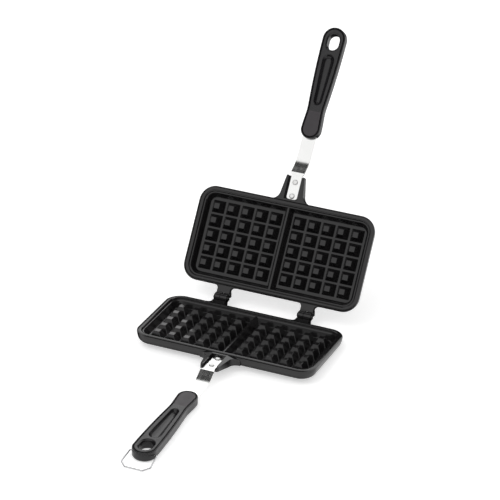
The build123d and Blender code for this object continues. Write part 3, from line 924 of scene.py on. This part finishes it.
def thumb_groove(handle):
    """Tool for the thumb groove: a shallow tapering trough."""
    floor_share, floor_round, above = (0.42, 0.9, 1), 2.4 * MM, 1.4 * MM
    half = handle.thickness / 2
    start = handle.start + handle.groove_at
    end = start + handle.groove_length
    narrow, wide = handle.groove_narrow / 2, handle.groove_wide / 2
    floor = half - handle.groove_depth
    capsule("groove", narrow, wide, start, end, floor, half + above, 48)
    pick_facing("z", -1)
    stretch(floor_share, (0, -(start + end) / 2, floor))
    round_edges(floor_round, edge_on(z=floor), 6, False)
    return finish_edit()


def moulded_handle(handle):
    """Handle with its hole and groove, then softened like a moulding."""
    piece = handle_blank(handle)
    cut(piece, hang_hole(handle))
    cut(piece, thumb_groove(handle))
    apply_modifier(piece, "REMESH", mode="VOXEL", voxel_size=handle.grain, adaptivity=0)
    apply_modifier(piece, "SMOOTH", factor=0.5, iterations=4)
    mark = piece.data.attributes.new("pad", "FLOAT", "POINT")
    edge, level = -(handle.start + handle.pad_length), handle.thickness / 2 - SEAM_SIDE
    mark.data.foreach_set("value", [float(at.co.y > edge and at.co.z > level) for at in piece.data.vertices])
    return piece


def handle_place(plate, strap):
    """Handle frame to casting frame: origin at the joggle's end, sloping away from the mating plane."""
    y = plate_spans(plate)[1] - strap.joggle_at - strap.joggle_run
    z = -(strap.face + strap.thickness / 2 + strap.joggle_drop)
    return Matrix.Translation((0, y, z)) @ Matrix.Rotation(strap.slope, 4, "X")


class WAFFLE_OT_handles(bpy.types.Operator):
    """Model the two moulded handles"""
    bl_idname = "waffle.handles"
    bl_label = "Handles"

    def execute(self, context):
        scene = context.scene
        plastic = plastic_finish(scene.waffle_finish)
        model = moulded_handle(scene.waffle_handle)
        place = handle_place(scene.waffle_plate, scene.waffle_strap)
        settle_pair(model, "grip", "handle", place, plastic)
        return {"FINISHED"}


# ---- rivets, pins, screws and wire
class WAFFLE_OT_small_parts(bpy.types.Operator):
    """Give the rivets, hinge pins, screws and wire bail their finishes"""
    bl_idname = "waffle.small_parts"
    bl_label = "Small parts"

    def execute(self, context):
        colours = context.scene.waffle_finish
        finishes = {
            "rivet": metal_finish("rivet steel", colours.rivet, roughness=0.30, spotted=0.2),
            "pin": metal_finish("pin steel", colours.pin, roughness=0.42, spotted=0.5),
            "screw": metal_finish("screw steel", colours.pin, roughness=0.36, spotted=0.4),
            "bail": metal_finish("drawn wire", colours.wire, roughness=0.22, spotted=0.3),
        }
        for name, node in frame["nodes"].items():
            for word, material in finishes.items():
                if word in name:
                    dress(node, material)
        return {"FINISHED"}


# ---- stage
def floor_plane():
    """Point and tilt of the surface that the iron stands on, with its back edge and the handle's tip."""
    back = Vector((0, PLATE_HIGH.y - STAND_BACK, PLATE_LOW.z))
    tip = Vector((0, HANDLE_LOW.y + STAND_TIP, HANDLE_LOW.z))
    return back, math.atan2(back.z - tip.z, back.y - tip.y)


def floor_finish():
    """Pale matt floor, white to the camera, that keeps the shadow; gloss sees its back left part dark."""
    material, graph, shader = new_material("pale floor")
    patches = graph.spread(graph.noise(scale=2, detail=2), 0.3, 0.7, 0, 1)
    path = graph.add("ShaderNodeLightPath").outputs
    to_camera = graph.spread(path["Is Camera Ray"], 0, 1, 0, 0.5)
    to_gloss = graph.spread(path["Is Glossy Ray"], 0, 1, 0, 0.34)
    graph.fill(shader, {
        "Base Color": graph.blend(patches, (0.80, 0.80, 0.80), (0.82, 0.82, 0.82)),
        "Roughness": 0.9,
        "Specular IOR Level": 0.1,
        "Emission Color": (1, 1, 1, 1),
        "Emission Strength": graph.maths("MAXIMUM", to_camera, to_gloss),
    })
    place = graph.axes("Object")
    behind = graph.spread(place["Y"], *DARK_FLOOR_Y)
    beside = graph.spread(place["X"], *DARK_FLOOR_X)
    hidden = graph.product(path["Is Glossy Ray"], graph.product(behind, beside))
    dark = graph.add("ShaderNodeBsdfDiffuse", {"Color": (0.02, 0.02, 0.02, 1)})
    mix = graph.add("ShaderNodeMixShader", {0: hidden, 1: shader.outputs[0], 2: dark.outputs[0]})
    graph.fill(graph.nodes["Material Output"], {"Surface": mix.outputs[0]})
    return material


def studio_world():
    """White studio with dark flags overhead and at both sides, as gloss sees it."""
    world = bpy.data.worlds.new("studio")
    bpy.context.scene.world = world
    graph = Graph(world)
    towards = graph.axes("Generated")
    edges = {name: graph.spread(towards[axis], *edge) for name, (axis, *edge) in STUDIO_EDGES.items()}
    above = graph.product(graph.product(edges["overhead"], edges["overhead_near"]), edges["overhead_far"])
    overhead = graph.spread(above, 0, 1, 1, OVERHEAD_STRENGTH)
    sides = graph.spread(graph.maths("ABSOLUTE", towards["X"]), *SIDE_FLAGS)
    horizon = graph.product(edges["low"], graph.maths("MAXIMUM", edges["strip"], edges["strip_end"]))
    gloss = graph.product(graph.product(overhead, sides), graph.product(horizon, edges["backlight"]))
    path = graph.add("ShaderNodeLightPath").outputs
    room = graph.add("ShaderNodeMix", {0: path["Is Glossy Ray"], 2: ROOM_STRENGTH, 3: gloss}).outputs[0]
    seen = graph.maths("MAXIMUM", room, path["Is Camera Ray"])
    graph.fill(graph.nodes["Background"], {"Color": (1, 1, 1, 1), "Strength": seen})


def add_lamp(name, place, side, power):
    """Soft square lamp that points at the origin and isn't seen in gloss."""
    lamp = bpy.data.lights.new(name, "AREA")
    lamp.size = side
    lamp.energy = power
    holder = bpy.data.objects.new(name, lamp)
    holder.location = place
    holder.rotation_euler = (-Vector(place)).to_track_quat("-Z", "Y").to_euler()
    holder.visible_glossy = False
    bpy.context.scene.collection.objects.link(holder)


def camera_frame(stage):
    """Camera matrix from its turn, height angle, tilt and aim."""
    turn, rise = stage.azimuth, stage.elevation
    forward = Vector((-math.sin(turn) * math.cos(rise), math.cos(turn) * math.cos(rise), -math.sin(rise)))
    right = Vector((math.cos(turn), math.sin(turn), 0))
    down = forward.cross(right)
    tilt_cos, tilt_sin = math.cos(stage.roll), math.sin(stage.roll)
    right, down = right * tilt_cos - down * tilt_sin, right * tilt_sin + down * tilt_cos
    place = Vector(stage.aim) - forward * stage.distance
    axes = Matrix((right, -down, -forward)).transposed()
    return Matrix.Translation(place) @ axes.to_4x4()


class WAFFLE_OT_stage(bpy.types.Operator):
    """Add the floor, the soft light and the camera"""
    bl_idname = "waffle.stage"
    bl_label = "Stage"

    def execute(self, context):
        stage = context.scene.waffle_stage
        at, tilt = floor_plane()
        deselect()
        bpy.ops.mesh.primitive_plane_add(size=stage.floor)
        floor = bpy.context.object
        floor.name = "floor"
        floor.data.transform(Matrix.Translation(at) @ Matrix.Rotation(tilt, 4, "X"))
        floor.data.materials.append(floor_finish())
        studio_world()
        for lamp in LAMPS:
            add_lamp(*lamp)
        camera = bpy.data.cameras.new("camera")
        camera.lens = stage.lens
        camera.sensor_width = 36
        camera.clip_end = 100
        holder = bpy.data.objects.new("camera", camera)
        holder.matrix_world = camera_frame(stage)
        context.scene.collection.objects.link(holder)
        context.scene.camera = holder
        context.scene.view_settings.view_transform = "Standard"
        return {"FINISHED"}


class WAFFLE_PT_panel(bpy.types.Panel):
    """Lists the pieces and their sizes"""
    bl_idname = "WAFFLE_PT_panel"
    bl_label = "Waffle iron"
    bl_space_type = "VIEW_3D"
    bl_region_type = "UI"
    bl_category = "Waffle iron"

    def draw(self, context):
        for operator in OPERATORS:
            self.layout.operator(operator.bl_idname)
        for name, group in SIZES.items():
            box = self.layout.box()
            sizes = getattr(context.scene, name)
            for size in group.__annotations__:
                box.prop(sizes, size)


OPERATORS = (WAFFLE_OT_plates, WAFFLE_OT_straps, WAFFLE_OT_handles, WAFFLE_OT_small_parts, WAFFLE_OT_stage)


def register():
    """Register the classes and attach their sizes to the scene."""
    for item in (*SIZES.values(), *OPERATORS, WAFFLE_PT_panel):
        bpy.utils.register_class(item)
    for name, group in SIZES.items():
        setattr(bpy.types.Scene, name, PointerProperty(type=group))


def unregister():
    """Take the sizes and classes away again."""
    for name in SIZES:
        delattr(bpy.types.Scene, name)
    for item in reversed((*SIZES.values(), *OPERATORS, WAFFLE_PT_panel)):
        bpy.utils.unregister_class(item)


def main():
    """Build every piece in order."""
    register()
    deselect()
    bpy.ops.waffle.plates()
    bpy.ops.waffle.straps()
    bpy.ops.waffle.handles()
    bpy.ops.waffle.small_parts()
    bpy.ops.waffle.stage()


if __name__ == "__main__":
    main()
